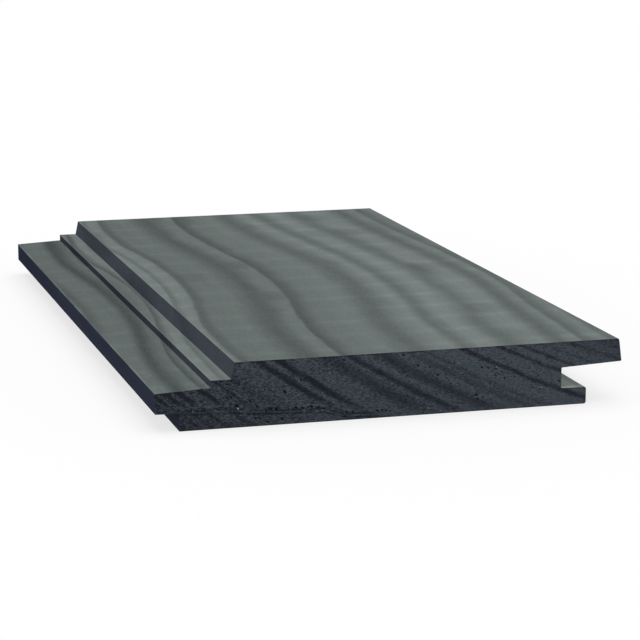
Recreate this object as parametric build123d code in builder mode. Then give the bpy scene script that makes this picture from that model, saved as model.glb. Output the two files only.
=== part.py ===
from build123d import *
import os
from math import radians, tan

# Shiplap cladding board, machined from one piece of softwood and crosscut at both ends.
# It lies on its back: +Z is out of the face, +Y runs along the grain, +X runs from the
# tongue to the face lip. The origin is under the middle of the board, on its back face.
# All sizes are in millimetres and all angles in degrees.

# Overall sizes
board_width = 140.0  # tongue tip to the end of the face lip
board_thickness = 19.0
board_length = 250.0

# Tongue edge
tongue_height = 5.3  # back face to the tongue's underside, at its tip
tongue_tip_thickness = 6.0
face_taper = 2.75  # the tongue's top thickens towards its root by this angle
back_taper = 1.25  # and its underside by this one
lip_seat_width = 16.0  # tongue tip to the step that stops the next board's face lip
back_rebate_width = 7.0  # tongue tip to the wall of the rebate below it

# Floor of the shadow gap, between the tongue and the face
step_height = 2.1
ledge_width = 6.0
shoulder_batter = 12.0  # lean of the face's tongue-side edge

# Grooved edge, cut to take the tongue of the next board
lip_batter = 7.5  # lean of the face lip's end
joint_clearance = 0.1  # between tongue and groove, at the top and again at the bottom
tip_gap = 2.8  # tongue tip to groove wall, once the face lip meets the step
back_gap = 2.0  # back lip to rebate wall, at the same moment

# Arrises, eased by these radii
face_lip_arris = 0.7
back_lip_arris = 0.7
lip_underside_arris = 0.3
tongue_arris = 0.3
shoulder_arris = 0.2
groove_root_radius = 0.4

face_slope = tan(radians(face_taper))
back_slope = tan(radians(back_taper))

# Places across the width
tip_x = -board_width / 2
rebate_x = tip_x + back_rebate_width
step_x = tip_x + lip_seat_width
shoulder_x = step_x + ledge_width
lip_x = board_width / 2
groove_x = lip_x - lip_seat_width - tip_gap
back_lip_x = lip_x - lip_seat_width + back_rebate_width - back_gap

# Heights above the back face
tip_top = tongue_height + tongue_tip_thickness
seat_top = tip_top + lip_seat_width * face_slope
tongue_root = tongue_height - back_rebate_width * back_slope
ledge_top = seat_top + step_height
lip_under = seat_top + joint_clearance
groove_top = lip_under - (lip_x - groove_x) * face_slope
back_lip_top = tongue_height - (back_rebate_width - back_gap) * back_slope - joint_clearance
groove_floor = back_lip_top + (back_lip_x - groove_x) * back_slope

# Corners of the section, as (across, above the back)
back_left = (rebate_x, 0)
back_right = (back_lip_x, 0)
back_lip_corner = (back_lip_x, back_lip_top)
groove_bottom_corner = (groove_x, groove_floor)
groove_top_corner = (groove_x, groove_top)
lip_lower_corner = (lip_x, lip_under)
lip_face_corner = (lip_x - (board_thickness - lip_under) * tan(radians(lip_batter)), board_thickness)
shoulder_run = (board_thickness - ledge_top) * tan(radians(shoulder_batter))
shoulder_top_corner = (shoulder_x + shoulder_run, board_thickness)
shoulder_foot = (shoulder_x, ledge_top)
step_top_corner = (step_x, ledge_top)
step_foot = (step_x, seat_top)
tongue_top_corner = (tip_x, tip_top)
tongue_bottom_corner = (tip_x, tongue_height)
rebate_corner = (rebate_x, tongue_root)

eased_corners = [
    (lip_face_corner, face_lip_arris),
    (lip_lower_corner, lip_underside_arris),
    (back_lip_corner, back_lip_arris),
    (back_right, back_lip_arris),
    (groove_top_corner, groove_root_radius),
    (shoulder_top_corner, shoulder_arris),
    (tongue_top_corner, tongue_arris),
    (tongue_bottom_corner, tongue_arris),
]

# The board is its section drawn out along the grain
with BuildPart() as cladding_board:
    with BuildSketch(Plane.XZ) as section:
        with BuildLine():
            Polyline(
                back_left,
                back_right,
                back_lip_corner,
                groove_bottom_corner,
                groove_top_corner,
                lip_lower_corner,
                lip_face_corner,
                shoulder_top_corner,
                shoulder_foot,
                step_top_corner,
                step_foot,
                tongue_top_corner,
                tongue_bottom_corner,
                rebate_corner,
                close=True,
            )
        make_face()
        for corner, radius in eased_corners:
            fillet(section.vertices().sort_by_distance(corner)[0], radius)
    extrude(amount=board_length / 2, both=True)

cladding_board.part.label = "cladding_board"

os.makedirs("parts", exist_ok=True)
export_step(cladding_board.part, "parts/cladding_board.step")
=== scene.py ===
from math import atan2, cos, floor, hypot, pi, radians, sin

import bmesh
import bpy
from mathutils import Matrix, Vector, noise


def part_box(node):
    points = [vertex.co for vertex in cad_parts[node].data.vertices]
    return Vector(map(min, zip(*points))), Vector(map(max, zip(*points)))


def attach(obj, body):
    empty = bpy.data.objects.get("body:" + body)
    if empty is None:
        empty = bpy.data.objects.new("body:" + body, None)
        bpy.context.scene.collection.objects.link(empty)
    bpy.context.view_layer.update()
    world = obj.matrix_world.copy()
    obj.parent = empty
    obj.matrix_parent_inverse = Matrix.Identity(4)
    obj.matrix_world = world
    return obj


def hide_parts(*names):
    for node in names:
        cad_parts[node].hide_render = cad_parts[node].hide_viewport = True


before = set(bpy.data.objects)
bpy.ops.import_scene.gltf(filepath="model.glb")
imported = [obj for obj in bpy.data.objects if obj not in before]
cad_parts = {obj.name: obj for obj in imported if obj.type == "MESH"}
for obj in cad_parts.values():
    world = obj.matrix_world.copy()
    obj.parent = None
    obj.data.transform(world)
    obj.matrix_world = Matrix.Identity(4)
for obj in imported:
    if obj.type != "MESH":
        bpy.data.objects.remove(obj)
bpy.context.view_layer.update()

# Lengths and places are in metres, as the frame's are, unless a comment says millimetres
MM = 0.001
board_low, board_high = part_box("cladding_board")
far_end_mm = board_high.y / MM

# Camera, as solved from the board's own straight edges in the 640 by 640 photograph
photo_size_px = 640
focal_length_px = 2379.2
sensor_width_mm = 36.0
camera_place = Vector((-0.20059, -0.75724, 0.16705))
camera_heading = radians(15.763)
camera_dip = radians(11.812)

# Studio: together the room and the overhead light give an upward face a level of 0.93, at which a
# colour renders about as it is written, and the room's lowest part gives a face that looks down 0.96
# where no floor is in the way. The room is brighter towards the horizon, for the upright faces.
# Heights are the upward part of a direction.
room_level = 0.34
horizon_level = 2.04
horizon_height = 0.5
ground_level = 1.0
ground_height = -0.1
overhead_level = 0.46
overhead_spread = radians(70)
overhead_lean = radians(9)
overhead_turn = radians(45)
floor_radius = 6.0
floor_sides = 96
floor_grey = 0.3
# What the camera sees of the open floor, a hair over white
floor_level = 1.02
# A hair above the board's back, which then shows in a view from below
floor_height = 0.02 * MM

# Crosscut ends
end_arris = 0.15 * MM
arris_segments = 2
end_grid = 0.3 * MM
# How far the grid is moved, in cells, so that no cut falls on a corner of the section
grid_offset = 0.37
tear_depth = 0.42 * MM

# Relief that is too fine for the mesh
grain_relief = 0.03 * MM
fleck_relief = 0.1 * MM

# The CAD node's triangles are merged within this distance and this angle of flat
merge_distance = 0.001 * MM
flat_angle = radians(0.5)
# An edge that turns by more than this stays sharp
sharp_angle = radians(50)

# Material slots of the board
FACE_SLOT = 0
EDGE_SLOT = 1
END_SLOT = 2

# Growth lines of the faces that lie along the grain, in millimetres across the board at the
# middle of its length. Each is the line's start, its darkest place, its end and its depth.
GROWTH_LINES = [
    (-70.3, -68.3, -64.3, 0.26),
    (-59.6, -55.8, -49.2, 0.43),
    (-49.5, -48.8, -45.8, 0.39),
    (-43.8, -42.6, -40.0, 0.37),
    (-37.3, -36.0, -31.6, 0.33),
    (-25.4, -16.4, -9.0, 0.39),
    (-7.3, -5.9, 0.6, 0.38),
    (9.6, 18.6, 27.4, 0.42),
    (26.8, 31.2, 37.4, 0.45),
    (39.0, 46.0, 53.2, 0.46),
    (54.6, 60.0, 65.2, 0.39),
    (65.5, 67.0, 72.9, 0.36),
    (72.5, 75.2, 79.0, 0.40),
]

# Stain tone between the lines: place across in millimetres, darkness
STAIN_TONE = [
    (-70.0, 0.42), (-62.0, 0.40), (-56.0, 0.39), (-51.5, 0.33), (-49.5, 0.35), (-47.0, 0.22),
    (-45.0, 0.05), (-39.5, 0.10), (-36.0, 0.30), (-33.0, 0.42), (-26.0, 0.37), (-16.0, 0.33),
    (-8.5, 0.33), (-4.0, 0.40), (2.0, 0.36), (9.5, 0.25), (18.0, 0.17), (26.5, 0.05), (38.5, 0.02),
    (54.5, 0.07), (64.5, 0.20), (74.0, 0.08),
]

# Tone by the place across itself, on the face side: painted light in the inner corners of the step and
# the shoulder, where they shade the tongue and the ledge, and dark on the face lip's arris
CORNER_LIGHT_AND_LIP_ARRIS = [
    (-70.0, 0.0), (-66.0, 0.0), (-61.0, 0.03), (-57.0, 0.04), (-55.8, -0.03), (-55.0, -0.13),
    (-54.5, -0.40), (-54.0, -0.50), (-53.9, -0.24), (-53.4, -0.13), (-52.0, -0.13), (-50.4, -0.16),
    (-49.2, -0.30), (-48.7, -0.50), (-48.0, -0.50), (-47.1, -0.14), (-46.5, 0.0), (67.9, 0.0),
    (68.5, 0.25), (69.1, 0.35), (70.0, 0.35),
]

# How far the lines wander by chance, from side to side
WANDER_MM = 1.4

# How much darker the stain gets towards the far end, and the place along where that starts
FAR_DARKENING = 0.07
FAR_DARKENING_START_MM = -40.0

# The wave that the lines share: place along in millimetres, shift across in millimetres
GRAIN_WAVE = [
    (-125.0, -9.3), (-100.0, -9.1), (-75.0, -7.5), (-50.0, -3.9), (-25.0, -0.95), (0.0, 0.0),
    (25.0, -0.8), (50.0, -3.4), (75.0, -5.7), (100.0, -6.6), (125.0, -6.4),
]

# How far the wave has carried the rings of the far end from those of the near end
far_end_shift_mm = GRAIN_WAVE[-1][1] - GRAIN_WAVE[0][1]

# How deep the wave is from one edge of the board to the other: place across in millimetres, share
WAVE_DEPTH = [
    (-70.0, 0.80), (-50.0, 0.82), (-36.0, 0.88), (-17.0, 0.97), (-6.0, 1.04), (6.0, 1.25),
    (18.0, 1.37), (30.0, 1.14), (44.0, 1.16), (58.0, 0.86), (70.0, 0.72),
]

# Slower drifts of the lines, each in its own part of the board: the shift in millimetres by the place
# along, and its share by the place across
DRIFTS = [
    (
        [(-125.0, 1.0), (-100.0, 2.0), (-70.0, 2.1), (-50.0, 1.1), (-30.0, 0.0), (125.0, 0.0)],
        [(-70.0, 0.0), (-41.0, 0.0), (-36.5, -0.45), (-30.0, -0.3), (-16.0, 0.1), (-6.0, 0.2),
         (6.0, 0.6), (18.0, 1.0), (31.0, 0.7), (45.0, 0.3), (58.0, 0.2), (70.0, 0.0)],
    ),
    (
        [(-125.0, 0.0), (-30.0, 0.0), (-10.0, 1.0), (35.0, 1.3), (60.0, 0.2), (125.0, 0.2)],
        [(-70.0, 0.0), (6.0, 0.0), (18.0, -0.3), (31.0, -0.6), (45.0, -1.1), (60.0, -0.7), (70.0, -0.2)],
    ),
    (
        [(-125.0, -0.2), (50.0, 0.0), (75.0, 0.2), (100.0, 0.8), (125.0, 1.9)],
        [(-70.0, 1.0), (-36.0, 1.2), (-17.0, 0.3), (-6.0, 0.9), (18.0, -1.0), (31.0, -1.4), (45.0, -1.4),
         (58.0, -0.4), (70.0, 0.2)],
    ),
    (
        [(-125.0, -2.0), (-115.0, -1.4), (-105.0, -0.7), (-95.0, 0.0), (125.0, 0.0)],
        [(-70.0, 0.0), (52.0, 0.0), (58.0, 1.0), (70.0, 1.0)],
    ),
    (
        [(-125.0, 0.0), (-60.0, 0.0), (-40.0, -0.8), (-25.0, -0.3), (-5.0, 0.0), (50.0, 0.0),
         (68.0, -0.4), (95.0, -0.5), (110.0, 0.0), (125.0, 0.0)],
        [(-70.0, 0.0), (-47.0, 0.0), (-44.0, 1.0), (-32.0, 1.0), (-24.0, 0.0), (70.0, 0.0)],
    ),
    (
        [(-125.0, 0.0), (-115.0, 0.1), (-105.0, 0.4), (-90.0, 0.5), (-75.0, 0.1), (-60.0, 0.0),
         (125.0, 0.0)],
        [(-70.0, 0.0), (-46.0, 0.0), (-43.0, 1.0), (-39.5, 1.0), (-37.0, 0.0), (70.0, 0.0)],
    ),
    (
        [(-125.0, 0.0), (-75.0, -0.6), (-60.0, -0.7), (-40.0, -0.9), (-20.0, -0.2), (0.0, 0.0),
         (45.0, 0.0), (60.0, -0.9), (80.0, -0.8), (100.0, -0.5), (115.0, 0.0), (125.0, 0.0)],
        [(-70.0, 0.0), (-55.0, 0.0), (-51.5, 1.0), (-47.5, 1.0), (-45.5, 0.0), (70.0, 0.0)],
    ),
]

# Soft patches where a line bulges or thins: place across and along, half its width and half its
# length, all in millimetres, and how much darker it is. It is paler where that is under 0.
PATCHES = [
    (-10.0, 20.0, 4.0, 11.0, 0.18),
    (-10.0, -37.0, 4.0, 11.0, 0.18),
    (38.5, 72.0, 3.0, 12.0, 0.14),
    (51.5, -71.0, 4.5, 12.0, 0.22),
    (50.5, -3.0, 5.5, 13.0, 0.24),
    (51.5, 74.0, 4.5, 10.0, 0.20),
    (50.5, 107.0, 5.0, 9.0, 0.16),
    (51.5, -112.0, 5.0, 11.0, 0.14),
    (49.0, 18.0, 3.0, 13.0, -0.20),
    (48.5, -28.0, 4.0, 16.0, -0.14),
    (48.5, 91.0, 4.0, 12.0, -0.14),
    (44.0, -66.0, 3.5, 26.0, -0.16),
    (-30.0, 2.0, 6.0, 14.0, 0.10),
    (66.2, 118.0, 2.0, 9.0, 0.12),
    (-52.0, 108.0, 5.0, 28.0, 0.08),
    (69.0, 40.0, 2.5, 9.0, -0.14),
    (64.0, 80.0, 2.0, 12.0, 0.13),
    (23.0, 15.0, 3.0, 9.0, 0.13),
    (43.0, -26.0, 2.0, 9.0, 0.13),
    (43.0, 27.0, 2.0, 8.0, 0.08),
    (-13.0, 76.0, 3.0, 9.0, -0.12),
    (63.5, -9.0, 2.5, 8.0, -0.12),
    (12.5, -118.0, 2.5, 8.0, 0.12),
    (23.0, 96.0, 2.5, 9.0, 0.12),
    (-12.5, -15.0, 2.0, 9.0, -0.13),
    (-12.0, -61.0, 3.0, 8.0, 0.12),
    (-4.0, 42.0, 3.0, 9.0, -0.09),
    (-2.5, -7.0, 3.0, 9.0, -0.09),
    (35.0, -90.0, 2.0, 10.0, 0.10),
    (13.5, -10.0, 2.5, 9.0, 0.10),
    (-51.0, -120.0, 3.0, 8.0, -0.08),
    (-61.0, -121.0, 4.0, 7.0, -0.12),
    (-40.5, 90.0, 2.5, 16.0, 0.20),
    (-11.5, 122.0, 3.0, 8.0, 0.12),
    (-0.5, 117.0, 3.0, 12.0, 0.14),
    (70.0, -118.0, 2.5, 10.0, -0.11),
    (72.5, 92.0, 2.5, 22.0, 0.09),
    (66.0, 19.0, 2.0, 8.0, 0.08),
    (22.0, 122.0, 3.0, 7.0, 0.10),
    (-2.5, -122.0, 3.0, 7.0, -0.10),
    (63.5, -122.0, 3.0, 6.0, -0.10),
    (63.0, 38.0, 2.0, 8.0, -0.10),
]

# A patch is at its full depth within this share of its size, and gone beyond this share
PATCH_CORE = 0.25
PATCH_REACH = 1.25

# Pale bands across the grain, painted sheen of the wood's figure, where the lines stand out more: their
# spacing, the place of one of them and how far they bend, how narrow they are, how strong and how
# unevenly so, and what they do to the darkness
BAND_SPACING_MM = 18.2
BAND_PLACE_MM = 10.4
BAND_BEND_MM = 3.0
BAND_NARROWNESS = 4.5
BAND_STRENGTH = 0.36
BAND_UNEVENNESS = 0.8
BAND_CONTRAST = 0.5
BAND_PALENESS = 0.4

# Finer marks of the plane's knives, also across the grain
KNIFE_MARKS = 0.17

# Rings of the crosscut ends: the pith's place, and each dark ring's radius, half width and depth,
# all in millimetres but the depth
PITH_X_MM = 169.1
PITH_Z_MM = 303.9
END_RINGS = [
    (380.8, 1.3, 0.55), (378.3, 0.8, 0.70), (376.2, 0.7, 0.75), (373.7, 0.9, 0.85), (369.6, 0.9, 0.85),
    (365.3, 0.6, 0.55), (361.8, 2.2, 0.25), (353.6, 1.2, 0.90), (350.2, 1.2, 0.90), (342.4, 2.4, 0.62),
    (338.4, 1.2, 0.80), (333.9, 2.0, 0.62), (329.2, 1.2, 0.45), (327.0, 0.9, 0.45), (321.5, 0.95, 0.90),
    (316.5, 0.7, 0.85), (313.7, 0.6, 0.70), (311.0, 0.6, 0.30), (307.8, 0.8, 0.40),
]

# A ring is at its full depth within this many half widths of its middle, and gone beyond this many
RING_CORE = 0.1
RING_REACH = 1.3

# Where two cuts of the saw meet on an end: place across and height in millimetres
SAW_LINE = [
    (-70.0, 6.3), (-50.0, 6.2), (-45.0, 5.7), (-36.0, 5.0), (-21.0, 4.4), (-14.0, 2.6), (0.0, 1.9),
    (20.0, 1.0), (70.0, 0.2),
]

# Thin marks beside it: height over the saw line and half width in millimetres, and how much darker
# the mark is. It is paler where that is under 0.
SAW_MARKS = [(0.4, 0.35, -0.35), (-0.6, 0.4, 0.65), (-1.65, 0.4, 0.6)]

# The stretch across in which that line is also torn, and half its width
TORN_LINE_START_MM = -58.0
TORN_LINE_END_MM = 3.0
TORN_LINE_HALF_WIDTH_MM = 0.5

# Where the rings fade out, smeared by the saw: place across and height in millimetres
RING_FOOT = [
    (-70.0, 8.4), (-52.0, 8.0), (-40.0, 7.0), (-28.0, 6.4), (-18.0, 5.8), (-10.0, 4.4), (0.0, 3.0),
    (20.0, 1.6), (70.0, 0.4),
]

# How rough the saw has left an end: place across in millimetres, share
SAW_ROUGHNESS = [
    (-70.0, 0.95), (-50.0, 1.15), (-30.0, 1.1), (-5.0, 0.95), (40.0, 0.9), (52.0, 0.65), (70.0, 0.5),
]

# Pits in the near end: place across, height and radius, all in millimetres
PITS = [
    (-59.4, 5.9, 0.35), (-56.4, 8.0, 0.4), (-52.5, 5.8, 0.4), (-51.0, 13.5, 0.4), (-49.4, 12.7, 0.4),
    (-49.0, 8.6, 0.45), (-48.1, 8.9, 0.45), (-46.7, 7.6, 0.4), (-46.3, 6.2, 0.65), (-45.4, 5.4, 0.4),
    (-42.9, 3.6, 0.4), (-42.3, 7.2, 0.5), (-41.5, 3.5, 0.4), (-41.0, 2.3, 0.45), (-40.5, 5.8, 0.5),
    (-39.7, 2.2, 0.45), (-38.0, 4.1, 0.4), (-37.5, 1.1, 0.45), (-36.8, 3.7, 0.4), (-36.4, 4.9, 0.4),
    (-34.9, 4.5, 0.4), (-33.2, 1.6, 0.55), (-32.4, 9.3, 0.5), (-30.6, 13.6, 0.35), (-29.0, 4.6, 0.45),
    (-27.6, 12.5, 0.35), (-27.2, 4.5, 0.45), (-24.5, 4.6, 0.45), (-22.5, 4.3, 0.4), (-21.0, 3.8, 0.4),
    (-15.0, 17.6, 0.45), (-14.2, 2.3, 0.4), (-12.4, 2.2, 0.4), (-5.0, 2.2, 0.4), (-3.6, 2.2, 0.4),
    (-2.4, 1.9, 0.4), (2.7, 18.0, 0.4), (7.1, 14.6, 0.45), (10.7, 13.9, 0.4), (13.1, 11.5, 0.45),
    (12.8, 5.9, 0.35), (25.0, 4.9, 0.55), (25.4, 3.6, 0.5), (26.6, 12.8, 0.45), (28.5, 12.6, 0.45),
    (30.9, 12.2, 0.4), (30.8, 10.2, 0.4), (33.6, 9.2, 0.4), (36.6, 9.3, 0.35), (44.6, 5.2, 0.4),
]

# Pale splinters on the near end: place across, height and radius, all in millimetres
SPLINTERS = [
    (-59.2, 5.5, 0.26), (-52.4, 5.4, 0.26), (-46.1, 5.5, 0.42), (-35.7, 4.8, 0.26), (-19.6, 11.9, 0.26),
    (8.4, 8.4, 0.25), (10.4, 1.9, 0.3), (19.2, 14.7, 0.25), (31.0, 12.8, 0.25), (44.9, 5.8, 0.25),
]

# Pits and splinters are drawn out along the rings: their length and width against the radius
SPOT_LENGTH = 1.6
SPOT_WIDTH = 0.85

# Stain tone between the rings: radius in millimetres, darkness
END_TONE = [
    (305.0, 0.56), (313.0, 0.29), (325.0, 0.23), (332.0, 0.30), (346.0, 0.35), (357.0, 0.42),
    (363.0, 0.51), (372.0, 0.54), (384.0, 0.70),
]


def srgb(red, green, tongue_shade):
    """A colour given as 0 to 255, as the shader's linear colour."""
    def linear(value):
        value /= 255
        return value / 12.92 if value <= 0.04045 else ((value + 0.055) / 1.055) ** 2.4

    return (linear(red), linear(green), linear(tongue_shade), 1.0)


# Colours
FACE_PALE = srgb(114, 124, 121.5)
FACE_DARK = srgb(50, 58, 58.5)
FACE_THIN_AND_LIT = srgb(134, 145, 142)
# Painted shade of the upright faces: the moulded edges and the tongue's edge darker and bluer than the
# face
EDGE_PALE = srgb(80, 87, 95)
EDGE_DARK = srgb(50, 55, 62)
TONGUE_SHADE_PALE = srgb(60, 65, 82)
TONGUE_SHADE_DARK = srgb(51, 56, 71)
ARRIS_DARK = srgb(18, 20, 28)
# Painted light for the groove, which the face lip shades
GROOVE_PAINTED_LIGHT = srgb(222, 231, 225)
END_PALE = srgb(85, 93, 102)
END_DARK = srgb(33, 37, 44)
# Painted shade for the deepest hollows of the ends
PIT_PAINTED_SHADE = srgb(11, 13, 16)
SPLINTER_PALE = srgb(155, 161, 166)
WHITE = (1.0, 1.0, 1.0, 1.0)


# Shader helpers
def feed(tree, socket, value):
    """Links another node's output to a socket, or sets the socket to a plain value."""
    if isinstance(value, bpy.types.NodeSocket):
        tree.links.new(value, socket)
    else:
        socket.default_value = value


def add_node(tree, kind, inputs=(), **settings):
    """Adds a node, sets its options, and feeds its inputs, given as pairs of socket and value."""
    node = tree.nodes.new(kind)
    for name, value in settings.items():
        setattr(node, name, value)
    for key, value in inputs:
        feed(tree, node.inputs[key], value)
    return node


def sums(tree, operation, *values, clamp=False):
    """A Math node's result."""
    inputs = list(enumerate(values))
    return add_node(tree, "ShaderNodeMath", inputs, operation=operation, use_clamp=clamp).outputs[0]


def vectors(tree, operation, *values):
    """A Vector Math node's outputs."""
    return add_node(tree, "ShaderNodeVectorMath", list(enumerate(values)), operation=operation).outputs


def total(tree, *values):
    """The values added up."""
    result = values[0]
    for value in values[1:]:
        result = sums(tree, "ADD", result, value)
    return result


def ease(tree, value, start, end, low=0.0, high=1.0):
    """Goes smoothly from low at start to high at end."""
    if start > end:
        start, end, low, high = end, start, high, low
    inputs = [
        ("Value", value), ("From Min", start), ("From Max", end), ("To Min", low), ("To Max", high),
    ]
    return add_node(tree, "ShaderNodeMapRange", inputs, interpolation_type="SMOOTHSTEP").outputs[0]


def curve(tree, value, points, handles="AUTO"):
    """A curve through points given in real units."""
    places = [p[0] for p in points]
    heights = [p[1] for p in points]
    low, high = min(heights), max(heights)
    start, end = places[0], places[-1]
    inputs = [("Value", value), ("From Min", start), ("From Max", end)]
    share = add_node(tree, "ShaderNodeMapRange", inputs).outputs[0]
    node = add_node(tree, "ShaderNodeFloatCurve", [("Value", share)])
    line = node.mapping.curves[0]
    while len(line.points) < len(points):
        line.points.new(0.5, 0.5)
    for point, place, height in zip(line.points, places, heights):
        point.location = ((place - start) / (end - start), (height - low) / (high - low))
        point.handle_type = handles
    node.mapping.update()
    return sums(tree, "MULTIPLY_ADD", node.outputs[0], high - low, low)


def blend_colour(tree, share, first, second):
    """A Mix node's colour: the first where the share is 0, and the second where it is 1."""
    node = add_node(tree, "ShaderNodeMix", data_type="RGBA")
    # A Mix node keeps its colours at 6, 7 and 2, and its share at 0
    for number, value in ((0, share), (6, first), (7, second)):
        feed(tree, node.inputs[number], value)
    return node.outputs[2]


def speckle(tree, place, size, detail=2.0, roughness=0.5):
    """Noise from -0.5 to 0.5, with lumps of the given size along each axis of the place."""
    inverse = tuple(1.0 / s for s in size)
    mapped = vectors(tree, "MULTIPLY", place, inverse)[0]
    inputs = [("Vector", mapped), ("Scale", 1.0), ("Detail", detail), ("Roughness", roughness)]
    return sums(tree, "SUBTRACT", add_node(tree, "ShaderNodeTexNoise", inputs).outputs[0], 0.5)


def new_group(name, inputs, outputs):
    """An empty shader node group with named sockets, and its inner inputs and outputs."""
    tree = bpy.data.node_groups.new(name, "ShaderNodeTree")
    kinds = {"value": "NodeSocketFloat", "vector": "NodeSocketVector"}
    for socket, kind in inputs:
        tree.interface.new_socket(socket, in_out="INPUT", socket_type=kinds[kind])
    for socket, kind in outputs:
        tree.interface.new_socket(socket, in_out="OUTPUT", socket_type=kinds[kind])
    return tree, tree.nodes.new("NodeGroupInput").outputs, tree.nodes.new("NodeGroupOutput").inputs


def use_group(tree, group, **inputs):
    """Places a node group in a tree and returns its outputs."""
    node = tree.nodes.new("ShaderNodeGroup")
    node.node_tree = group
    for key, value in inputs.items():
        feed(tree, node.inputs[key], value)
    return node.outputs


def seen_directly(tree):
    """1 for what the camera sees, also in gloss and through glass, and 0 for what lights the board."""
    path = add_node(tree, "ShaderNodeLightPath").outputs
    seen = sums(tree, "MAXIMUM", path["Is Camera Ray"], path["Is Glossy Ray"])
    return sums(tree, "MAXIMUM", seen, path["Is Transmission Ray"])


def board_place_group():
    """The place on the board in millimetres, and its three parts."""
    tree, _, out = new_group(
        "board_place", [], [("Place", "vector"), ("X", "value"), ("Y", "value"), ("Z", "value")]
    )
    place = add_node(tree, "ShaderNodeTexCoord").outputs["Object"]
    inputs = [(0, place), ("Scale", 1 / MM)]
    scaled = add_node(tree, "ShaderNodeVectorMath", inputs, operation="SCALE").outputs[0]
    parts = add_node(tree, "ShaderNodeSeparateXYZ", [(0, scaled)]).outputs
    tree.links.new(scaled, out["Place"])
    for name, part in zip("XYZ", parts):
        tree.links.new(part, out[name])
    return tree


def growth_lines_group():
    """Darkness of the wavy growth lines on a face that lies along the grain."""
    tree, into, out = new_group(
        "growth_lines", [("Place", "vector"), ("X", "value"), ("Y", "value")], [("Darkness", "value")]
    )
    x, y = into["X"], into["Y"]
    # The wave's depth and the drifts go by a line's own place, which is found roughly first
    wave = curve(tree, y, GRAIN_WAVE)
    rough = sums(tree, "SUBTRACT", x, wave)
    shift = sums(tree, "MULTIPLY", wave, curve(tree, rough, WAVE_DEPTH))
    for along, share in DRIFTS:
        shift = sums(tree, "MULTIPLY_ADD", curve(tree, y, along), curve(tree, rough, share), shift)
    wander = sums(tree, "MULTIPLY", speckle(tree, into["Place"], (16.0, 22.0, 16.0), 1.0), WANDER_MM)
    across = sums(tree, "ADD", sums(tree, "SUBTRACT", x, shift), wander)
    darkness = curve(tree, across, STAIN_TONE)
    darker = ease(tree, y, FAR_DARKENING_START_MM, far_end_mm, 0.0, FAR_DARKENING)
    darkness = sums(tree, "ADD", darkness, darker)
    for start, darkest, end, depth in GROWTH_LINES:
        rise = ease(tree, across, start, darkest, 0.0, depth)
        fall = ease(tree, across, darkest, end, 1.0, 0.0)
        darkness = sums(tree, "MULTIPLY_ADD", rise, fall, darkness)
    here = add_node(tree, "ShaderNodeCombineXYZ", [(0, across), (1, y)]).outputs[0]
    for patch_across, patch_along, half_width, half_length, depth in PATCHES:
        away = vectors(tree, "SUBTRACT", here, (patch_across, patch_along, 0.0))[0]
        away = vectors(tree, "MULTIPLY", away, (1.0 / half_width, 1.0 / half_length, 1.0))[0]
        far = vectors(tree, "LENGTH", away)["Value"]
        darkness = sums(tree, "ADD", darkness, ease(tree, far, PATCH_CORE, PATCH_REACH, depth, 0.0))
    # Painted sheen: pale bands across the grain, where the lines stand out more
    bend = sums(tree, "MULTIPLY", speckle(tree, into["Place"], (25.0, 40.0, 25.0), 1.0), BAND_BEND_MM)
    turn = sums(tree, "MULTIPLY", total(tree, y, bend, -BAND_PLACE_MM), 2 * pi / BAND_SPACING_MM)
    swell = sums(tree, "MULTIPLY_ADD", sums(tree, "COSINE", turn), 0.5, 0.5)
    band = sums(tree, "POWER", swell, BAND_NARROWNESS)
    uneven = speckle(tree, into["Place"], (18.0, 12.0, 18.0), 2.0)
    strength = sums(tree, "MULTIPLY_ADD", uneven, BAND_UNEVENNESS, BAND_STRENGTH)
    lift = sums(tree, "MULTIPLY_ADD", darkness, BAND_CONTRAST, -BAND_PALENESS)
    banded = sums(tree, "MULTIPLY_ADD", lift, sums(tree, "MULTIPLY", band, strength), darkness)
    knives = speckle(tree, into["Place"], (10.0, 1.8, 10.0), 2.0, 0.6)
    tree.links.new(sums(tree, "MULTIPLY_ADD", knives, KNIFE_MARKS, banded), out["Darkness"])
    return tree


def fibres_group():
    """Streaks and fine fibres that run along the grain, and the fine tooth of the stain, all about 0."""
    tree, into, out = new_group(
        "fibres", [("Place", "vector")], [("Streaks", "value"), ("Fibres", "value"), ("Tooth", "value")]
    )
    tree.links.new(speckle(tree, into["Place"], (2.6, 46.0, 2.6), 3.0, 0.6), out["Streaks"])
    tree.links.new(speckle(tree, into["Place"], (0.5, 5.0, 0.5), 2.0, 0.6), out["Fibres"])
    tree.links.new(speckle(tree, into["Place"], (0.32, 0.5, 0.32), 2.0, 0.7), out["Tooth"])
    return tree


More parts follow.
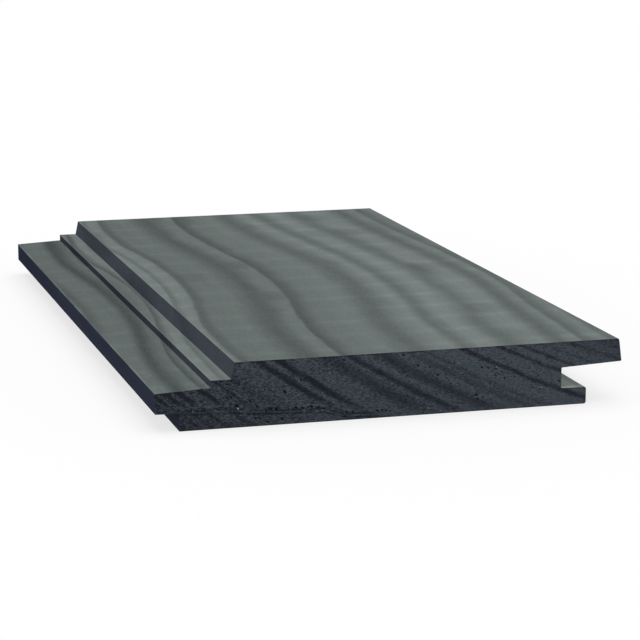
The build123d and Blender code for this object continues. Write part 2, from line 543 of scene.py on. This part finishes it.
def end_rings_group():
    """Darkness of the rings where the saw has cut across them, and a place that follows them."""
    tree, into, out = new_group(
        "end_rings", [("Place", "vector"), ("X", "value"), ("Y", "value"), ("Z", "value")],
        [("Darkness", "value"), ("Rings", "value"), ("Along rings", "vector")],
    )
    # The far end's rings lie where the wave has carried them
    wave = sums(tree, "SUBTRACT", curve(tree, into["Y"], GRAIN_WAVE), GRAIN_WAVE[0][1])
    from_pith_x = sums(tree, "SUBTRACT", into["X"], total(tree, wave, PITH_X_MM))
    from_pith_z = sums(tree, "SUBTRACT", into["Z"], PITH_Z_MM)
    squares = total(tree, sums(tree, "POWER", from_pith_x, 2.0), sums(tree, "POWER", from_pith_z, 2.0))
    radius = sums(tree, "SQRT", squares)
    angle = sums(tree, "ARCTAN2", from_pith_z, from_pith_x)
    arc = sums(tree, "MULTIPLY", angle, END_RINGS[0][0])
    inputs = [(0, radius), (1, arc), (2, into["Y"])]
    followed = add_node(tree, "ShaderNodeCombineXYZ", inputs).outputs[0]
    # Each ring wavers slowly and is ragged at its edges, in millimetres
    slow = sums(tree, "MULTIPLY", speckle(tree, into["Place"], (11.0, 11.0, 9.0), 1.0), 0.7)
    ragged = sums(tree, "MULTIPLY", speckle(tree, followed, (1.2, 2.4, 2.0), 3.0, 0.7), 1.5)
    rough_radius = total(tree, radius, slow, ragged)
    lines = 0.0
    for middle, width, depth in END_RINGS:
        away = sums(tree, "ABSOLUTE", sums(tree, "SUBTRACT", rough_radius, middle))
        faded = ease(tree, away, RING_CORE * width, RING_REACH * width, depth, 0.0)
        lines = sums(tree, "ADD", lines, faded)
    # The rings are patchy, and smeared low down
    patchy = sums(tree, "MULTIPLY_ADD", speckle(tree, followed, (3.0, 7.0, 4.0), 2.0, 0.6), 0.8, 0.92)
    over = sums(tree, "SUBTRACT", into["Z"], curve(tree, into["X"], RING_FOOT, "VECTOR"))
    kept = sums(tree, "MULTIPLY", patchy, ease(tree, over, -1.8, 1.4, 0.3, 0.74))
    lines = sums(tree, "MULTIPLY", lines, kept)
    darkness = sums(tree, "ADD", lines, curve(tree, radius, END_TONE))
    tree.links.new(lines, out["Rings"])
    tree.links.new(darkness, out["Darkness"])
    tree.links.new(followed, out["Along rings"])
    return tree


def start_material(name):
    """A material with an empty tree, its shader and its output."""
    material = bpy.data.materials.new(name)
    material.use_nodes = True
    tree = material.node_tree
    tree.nodes.clear()
    shader = tree.nodes.new("ShaderNodeBsdfPrincipled")
    result = tree.nodes.new("ShaderNodeOutputMaterial")
    tree.links.new(shader.outputs[0], result.inputs["Surface"])
    return material, tree, shader


def fine_figure(tree, fibres, streaks, fine, tooth):
    """The streaks, fibres and tooth, each at its own strength, added up."""
    return total(
        tree,
        sums(tree, "MULTIPLY", fibres["Streaks"], streaks),
        sums(tree, "MULTIPLY", fibres["Fibres"], fine),
        sums(tree, "MULTIPLY", fibres["Tooth"], tooth),
    )


def add_bump(tree, shader, height, relief, strength, invert=False):
    """Slight relief from a height, or with invert from a depth."""
    inputs = [("Height", height), ("Distance", relief), ("Strength", strength)]
    bump = add_node(tree, "ShaderNodeBump", inputs, invert=invert)
    tree.links.new(bump.outputs[0], shader.inputs["Normal"])


def stained_face(groups):
    """Planed and stained faces that lie along the grain."""
    material, tree, shader = start_material("stained_face")
    place = use_group(tree, groups["place"])
    lines = use_group(tree, groups["lines"], Place=place["Place"], X=place["X"], Y=place["Y"])
    fibres = use_group(tree, groups["fibres"], Place=place["Place"])
    figure = fine_figure(tree, fibres, streaks=0.16, fine=0.25, tooth=0.8)
    # Paler on the arris of the near end, a painted highlight along parts of the tongue's arris, and
    # darker along the arris of the far end
    near_arris_pale = ease(tree, place["Y"], 0.9 - far_end_mm, 0.1 - far_end_mm, 0.0, -0.12)
    far_rim = ease(tree, place["Y"], far_end_mm - 1.2, far_end_mm - 0.4, 0.0, 0.22)
    tongue_arris_highlight = ease(tree, speckle(tree, place["Place"], (3.0, 22.0, 3.0), 1.0), -0.08, 0.1)
    tongue_arris_highlight = sums(tree, "MULTIPLY", tongue_arris_highlight, ease(tree, place["X"], -69.3, -69.8, 0.0, -0.35))
    # Painted light in the inner corners of the step and the shoulder, and the dark face lip arris, on
    # the face side only
    corners = curve(tree, place["X"], CORNER_LIGHT_AND_LIP_ARRIS, "VECTOR")
    corners = sums(tree, "MULTIPLY", corners, ease(tree, place["Z"], 9.0, 10.0))
    darkness = total(tree, lines["Darkness"], corners, figure, near_arris_pale, far_rim, tongue_arris_highlight)
    stain = blend_colour(tree, darkness, FACE_PALE, FACE_DARK)
    # Darkness under 0 is paler: wood that shows through where the stain is thin, and painted light in
    # the inner corners and on the tongue's arris
    stain = blend_colour(tree, sums(tree, "MULTIPLY", darkness, -2.0, clamp=True), stain, FACE_THIN_AND_LIT)
    # Painted light in the groove, where the face lip shades it: a pale colour there, toned down at its
    # mouth and at its two ends
    inside = ease(tree, place["X"], 50.0, 51.0)
    inside = sums(tree, "MULTIPLY", inside, ease(tree, place["Z"], 14.0, 13.0))
    inside = sums(tree, "MULTIPLY", inside, ease(tree, place["Z"], 2.0, 4.0))
    mouth = ease(tree, place["X"], 55.9, 56.5, 0.0, 0.22)
    mouth = sums(tree, "MULTIPLY", mouth, ease(tree, place["Z"], 9.0, 7.0))
    front = ease(tree, place["Y"], -far_end_mm, 7.0 - far_end_mm, 0.27, 0.0)
    rear = ease(tree, place["Y"], far_end_mm - 25.0, far_end_mm - 3.0, 0.0, 0.6)
    tone = total(tree, sums(tree, "MULTIPLY", fibres["Tooth"], 0.24), mouth, front, rear)
    pale = blend_colour(tree, tone, GROOVE_PAINTED_LIGHT, FACE_DARK)
    tree.links.new(blend_colour(tree, inside, stain, pale), shader.inputs["Base Color"])
    tree.links.new(sums(tree, "MULTIPLY_ADD", fibres["Tooth"], 0.2, 0.78), shader.inputs["Roughness"])
    shader.inputs["Specular IOR Level"].default_value = 0.08
    add_bump(tree, shader, total(tree, fibres["Tooth"], fibres["Fibres"]), grain_relief, 0.6)
    return material


def stained_edge(groups):
    """Moulded edges, painted darker and bluer than the faces as shade on faces that stand upright."""
    material, tree, shader = start_material("stained_edge")
    place = use_group(tree, groups["place"])
    fibres = use_group(tree, groups["fibres"], Place=place["Place"])
    lines = use_group(tree, groups["lines"], Place=place["Place"], X=place["X"], Y=place["Y"])
    # Painted shade: darker on the step than on the shoulder, which leans towards the light
    share = ease(tree, place["X"], -53.0, -49.0, 0.75, 0.6)
    plain = ease(tree, place["X"], -53.0, -49.0, 0.34, 0.20)
    figure = fine_figure(tree, fibres, streaks=0.35, fine=0.35, tooth=0.3)
    darkness = sums(tree, "ADD", sums(tree, "MULTIPLY_ADD", lines["Darkness"], share, plain), figure)
    stain = blend_colour(tree, darkness, EDGE_PALE, EDGE_DARK)
    # The tongue's own edge is painted bluer and darker, as shade on a face that looks away from the
    # light; it is darker towards the far end, and dark along its lower arris
    along = ease(tree, place["Y"], 0.0, 120.0, 0.45, 1.0)
    streaks = sums(tree, "MULTIPLY_ADD", fibres["Streaks"], 1.8, along)
    tongue_shade = blend_colour(tree, streaks, TONGUE_SHADE_PALE, TONGUE_SHADE_DARK)
    arris = ease(tree, place["X"], -69.6, -69.8)
    arris = sums(tree, "MULTIPLY", arris, ease(tree, place["Z"], 5.8, 5.5))
    tongue_shade = blend_colour(tree, arris, tongue_shade, ARRIS_DARK)
    tongue = ease(tree, place["X"], -58.0, -62.0)
    tree.links.new(blend_colour(tree, tongue, stain, tongue_shade), shader.inputs["Base Color"])
    shader.inputs["Roughness"].default_value = 0.85
    shader.inputs["Specular IOR Level"].default_value = 0.0
    add_bump(tree, shader, fibres["Fibres"], grain_relief, 0.6)
    return material


def sawn_end(groups):
    """Crosscut ends, rough and dark with stain."""
    material, tree, shader = start_material("sawn_end")
    place = use_group(tree, groups["place"])
    rings = use_group(
        tree, groups["rings"], Place=place["Place"], X=place["X"], Y=place["Y"], Z=place["Z"]
    )
    hollow = add_node(tree, "ShaderNodeAttribute", attribute_name="hollow").outputs["Fac"]
    splinter = add_node(tree, "ShaderNodeAttribute", attribute_name="splinter").outputs["Fac"]
    mottle = speckle(tree, rings["Along rings"], (1.3, 3.0, 2.0), 2.0, 0.6)
    flecks = speckle(tree, rings["Along rings"], (0.4, 1.0, 0.8), 2.0, 0.6)
    scratches = speckle(tree, place["Place"], (1.25, 0.8, 0.36), 2.0, 0.6)
    texture = total(
        tree,
        sums(tree, "MULTIPLY", mottle, 0.4),
        sums(tree, "MULTIPLY", flecks, 1.7),
        sums(tree, "MULTIPLY", scratches, 1.7),
    )
    # The dense rings are calm, and the rest is rougher in some zones than in others
    calm = ease(tree, rings["Rings"], 0.08, 0.45, 1.0, 0.5)
    zones = sums(tree, "MULTIPLY_ADD", speckle(tree, place["Place"], (8.0, 8.0, 4.0), 2.0), 1.6, 1.05)
    zones = sums(tree, "MULTIPLY", zones, curve(tree, place["X"], SAW_ROUGHNESS, "VECTOR"))
    zones = sums(tree, "MULTIPLY", zones, ease(tree, place["Z"], 1.0, 6.0, 0.75, 1.0))
    texture = sums(tree, "MULTIPLY", texture, sums(tree, "MULTIPLY", calm, zones))
    # Pale specks, and dark dashes along the rings
    specks = speckle(tree, place["Place"], (0.5, 0.5, 0.35), 0.0)
    specks = ease(tree, specks, 0.17, 0.34, 0.0, -0.5)
    dashes = speckle(tree, rings["Along rings"], (0.4, 1.4, 1.0), 0.0)
    dashes = ease(tree, dashes, -0.34, -0.17, 0.5, 0.0)
    broken = sums(tree, "MULTIPLY", sums(tree, "ADD", specks, dashes), calm)
    # The stain is a little darker just under the face
    rim = ease(tree, place["Z"], 18.3, 18.8, 0.0, 0.14)
    # Thin broken marks where two cuts of the saw meet
    over = sums(tree, "SUBTRACT", place["Z"], curve(tree, place["X"], SAW_LINE, "VECTOR"))
    uneven = sums(tree, "MULTIPLY", speckle(tree, place["Place"], (5.0, 1.0, 3.0), 2.0), 0.5)
    over = sums(tree, "ADD", over, uneven)
    marks = 0.0
    for height, half_width, depth in SAW_MARKS:
        away = sums(tree, "ABSOLUTE", sums(tree, "SUBTRACT", over, height))
        marks = sums(tree, "ADD", marks, ease(tree, away, 0.25 * half_width, half_width, depth, 0.0))
    shown = ease(tree, speckle(tree, place["Place"], (3.5, 1.0, 2.0), 2.0), -0.12, 0.08, 0.1, 1.0)
    shown = sums(tree, "MULTIPLY", shown, ease(tree, place["X"], -62.0, -58.0, 0.15, 1.0))
    shown = sums(tree, "MULTIPLY", shown, ease(tree, place["X"], -10.0, 6.0, 1.0, 0.0))
    marks = sums(tree, "MULTIPLY", marks, shown)
    darkness = total(tree, rings["Darkness"], texture, broken, rim, marks)
    wood = blend_colour(tree, darkness, END_PALE, END_DARK)
    # Painted shade in the deepest places, and pale splinters
    wood = blend_colour(tree, ease(tree, hollow, 0.45, 0.85), wood, PIT_PAINTED_SHADE)
    wood = blend_colour(tree, ease(tree, splinter, 0.25, 0.6), wood, SPLINTER_PALE)
    tree.links.new(wood, shader.inputs["Base Color"])
    shader.inputs["Roughness"].default_value = 0.9
    shader.inputs["Specular IOR Level"].default_value = 0.08
    # A dark fleck lies lower
    add_bump(tree, shader, flecks, fleck_relief, 0.7, invert=True)
    return material


def height_at(points, place):
    """The height of a run of straight lines through points."""
    for (start, low), (end, high) in zip(points, points[1:]):
        if place <= end:
            return low + (high - low) * (place - start) / (end - start)
    return points[-1][1]


def density(radius):
    """How far a radius lies in a dense ring, from 0 to 1."""
    return max(
        depth * max(0.0, 1.0 - abs(radius - middle) / (RING_REACH * width))
        for middle, width, depth in END_RINGS
    )


def spot(spots, x, z):
    """How near a place is to the middle of one of some spots drawn out along the rings, from 0 to 1."""
    near = 0.0
    for middle_x, middle_z, size in spots:
        off_x = x - middle_x
        off_z = z - middle_z
        if max(abs(off_x), abs(off_z)) < SPOT_LENGTH * size:
            slope = atan2(PITH_X_MM - middle_x, middle_z - PITH_Z_MM)
            along = off_x * cos(slope) + off_z * sin(slope)
            across = off_z * cos(slope) - off_x * sin(slope)
            near = max(near, 1.0 - hypot(along / SPOT_LENGTH, across / SPOT_WIDTH) / size)
    return near


def lumps(across, up, width, height, seed):
    """Noise from about -1 to 1, with lumps of the given width and height in millimetres."""
    return noise.noise(Vector((across / width, up / height, seed)))


def tear_out(x, z, end):
    """How deep the saw has torn a place of an end, from 0 to 1. End is -1 near and 1 far."""
    across = x - PITH_X_MM - (far_end_shift_mm if end > 0 else 0.0)
    up = z - PITH_Z_MM
    radius = hypot(across, up)
    arc = atan2(up, across) * radius
    fine = lumps(radius, arc, 0.6, 1.3, 7.0 * end)
    scratches = lumps(x, z, 1.6, 0.5, 17.0 * end)
    coarse = lumps(radius, arc, 1.8, 3.2, 31.0 + end)
    holes = lumps(radius, arc, 0.7, 1.3, 53.0 + end)
    dashes = lumps(x, z, 1.8, 0.5, 91.0 + end)
    zone = lumps(x, z, 8.0, 4.0, 131.0 + end)
    # The dense rings stay smoother, and holes open where their noise peaks
    rough = height_at(SAW_ROUGHNESS, x) * (1.0 + 0.7 * zone) * (1.0 - 0.6 * density(radius))
    depth = 0.2 + rough * (0.2 * fine + 0.18 * scratches + 0.12 * coarse) + 3.0 * max(0.0, holes - 0.5)
    off_line = abs(z - height_at(SAW_LINE, x)) / TORN_LINE_HALF_WIDTH_MM
    if TORN_LINE_START_MM < x < TORN_LINE_END_MM and off_line < 1.0:
        depth += (1.0 - off_line) * max(0.0, 0.2 + 1.2 * dashes)
    if end < 0:
        depth += 1.15 * spot(PITS, x, z) - spot(SPLINTERS, x, z)
    return max(0.0, min(1.0, depth))


def on_end(face, end):
    """Whether a face lies square across the near end, -1, or the far end, 1."""
    return face.normal.y * end > 0.99


def dress_ends(board):
    """Cuts each end face into a fine grid and presses the torn grain into it."""
    hollow = board.verts.layers.float.new("hollow")
    splinter = board.verts.layers.float.new("splinter")
    sides = [
        (Vector((1, 0, 0)), board_low.x, board_high.x),
        (Vector((0, 0, 1)), board_low.z, board_high.z),
    ]
    for end in (-1, 1):
        caps = [f for f in board.faces if on_end(f, end)]
        geometry = list(dict.fromkeys(part for f in caps for part in (*f.verts, *f.edges))) + caps
        for axis, low, high in sides:
            count = floor((high - low) / end_grid)
            for step in range(1, count):
                place = axis * (low + (step + grid_offset) * (high - low) / count)
                geometry = bmesh.ops.bisect_plane(
                    board, geom=geometry, dist=1e-8, plane_co=place, plane_no=axis
                )["geom"]
        board.normal_update()
        for vert in board.verts:
            if vert.link_faces and all(on_end(f, end) for f in vert.link_faces):
                depth = tear_out(vert.co.x / MM, vert.co.z / MM, end)
                vert[hollow] = depth
                if end < 0:
                    vert[splinter] = spot(SPLINTERS, vert.co.x / MM, vert.co.z / MM)
                vert.co.y -= end * depth * tear_depth


def dress_board(face_material, edge_material, end_material):
    """The board as it shows: the CAD section with eased ends, and a material for each kind of face."""
    mesh = bpy.data.meshes.new("dressed_board")
    board = bmesh.new()
    board.from_mesh(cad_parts["cladding_board"].data)
    bmesh.ops.remove_doubles(board, verts=board.verts, dist=merge_distance)
    bmesh.ops.dissolve_limit(
        board, verts=board.verts, edges=board.edges, angle_limit=flat_angle,
        use_dissolve_boundaries=False,
    )
    # The edges between an end face and a long face
    rim = [
        e for e in board.edges
        if len(e.link_faces) == 2 and sum(abs(f.normal.y) > 0.9 for f in e.link_faces) == 1
    ]
    bmesh.ops.bevel(
        board, geom=rim, offset=end_arris, offset_type="OFFSET", affect="EDGES", segments=arris_segments,
        profile=0.5, material=-1, clamp_overlap=False,
    )
    board.normal_update()
    dress_ends(board)
    board.normal_update()
    for face in board.faces:
        normal = face.normal
        if abs(normal.y) > 0.5:
            face.material_index = END_SLOT
        elif abs(normal.z) > 0.5:
            face.material_index = FACE_SLOT
        else:
            face.material_index = EDGE_SLOT
        face.smooth = True
    for edge in board.edges:
        if len(edge.link_faces) == 2 and edge.calc_face_angle(0.0) > sharp_angle:
            edge.smooth = False
    board.to_mesh(mesh)
    board.free()
    # In the order of the material slots
    for material in (face_material, edge_material, end_material):
        mesh.materials.append(material)
    piece = bpy.data.objects.new("dressed_board", mesh)
    bpy.context.scene.collection.objects.link(piece)
    even = piece.modifiers.new("even_shading", "WEIGHTED_NORMAL")
    even.keep_sharp = True
    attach(piece, "root")
    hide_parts("cladding_board")


def studio_floor():
    """A white floor that keeps the board's soft shadow."""
    mesh = bpy.data.meshes.new("studio_floor")
    disc = bmesh.new()
    bmesh.ops.create_circle(disc, cap_ends=True, segments=floor_sides, radius=floor_radius)
    bmesh.ops.translate(disc, verts=disc.verts, vec=(0.0, 0.0, floor_height))
    disc.to_mesh(mesh)
    disc.free()
    material = bpy.data.materials.new("studio_floor")
    material.use_nodes = True
    tree = material.node_tree
    tree.nodes.clear()
    grey = (floor_grey, floor_grey, floor_grey, 1.0)
    matt = add_node(tree, "ShaderNodeBsdfDiffuse", [("Color", grey)]).outputs[0]
    inputs = [("Color", WHITE), ("Strength", floor_level - floor_grey)]
    glow = add_node(tree, "ShaderNodeEmission", inputs).outputs[0]
    bright = add_node(tree, "ShaderNodeAddShader", [(0, matt), (1, glow)]).outputs[0]
    inputs = [(0, seen_directly(tree)), (1, matt), (2, bright)]
    mixed = add_node(tree, "ShaderNodeMixShader", inputs).outputs[0]
    add_node(tree, "ShaderNodeOutputMaterial", [("Surface", mixed)])
    mesh.materials.append(material)
    floor_piece = bpy.data.objects.new("studio_floor", mesh)
    bpy.context.scene.collection.objects.link(floor_piece)


def studio_light():
    """One broad overhead light and a white room whose walls are brighter than its ceiling."""
    lamp = bpy.data.lights.new("overhead_light", "SUN")
    lamp.angle = overhead_spread
    lamp.energy = overhead_level * pi / cos(overhead_lean)
    light = bpy.data.objects.new("overhead_light", lamp)
    light.rotation_euler = (0.0, overhead_lean, overhead_turn)
    bpy.context.scene.collection.objects.link(light)
    world = bpy.data.worlds.new("white_room")
    bpy.context.scene.world = world
    world.use_nodes = True
    tree = world.node_tree
    tree.nodes.clear()
    direction = add_node(tree, "ShaderNodeTexCoord").outputs["Generated"]
    up = add_node(tree, "ShaderNodeSeparateXYZ", [(0, direction)]).outputs[2]
    above = ease(tree, up, 0.0, horizon_height, horizon_level, room_level)
    below = ease(tree, up, ground_height, 0.0, ground_level, horizon_level)
    level = sums(tree, "MINIMUM", above, below)
    room = add_node(tree, "ShaderNodeBackground", [("Color", WHITE), ("Strength", level)]).outputs[0]
    white = add_node(tree, "ShaderNodeBackground", [("Color", WHITE), ("Strength", 1.0)]).outputs[0]
    inputs = [(0, seen_directly(tree)), (1, room), (2, white)]
    mixed = add_node(tree, "ShaderNodeMixShader", inputs).outputs[0]
    add_node(tree, "ShaderNodeOutputWorld", [("Surface", mixed)])


def photo_camera():
    """The camera at the photograph's place."""
    data = bpy.data.cameras.new("camera")
    data.sensor_width = sensor_width_mm
    data.lens = focal_length_px / photo_size_px * sensor_width_mm
    camera = bpy.data.objects.new("camera", data)
    camera.location = camera_place
    camera.rotation_euler = (radians(90) - camera_dip, 0.0, -camera_heading)
    bpy.context.scene.collection.objects.link(camera)
    bpy.context.scene.camera = camera


photo_camera()
studio_light()
studio_floor()
groups = {
    "place": board_place_group(),
    "lines": growth_lines_group(),
    "fibres": fibres_group(),
    "rings": end_rings_group(),
}
dress_board(stained_face(groups), stained_edge(groups), sawn_end(groups))
bpy.context.scene.view_settings.view_transform = "Standard"
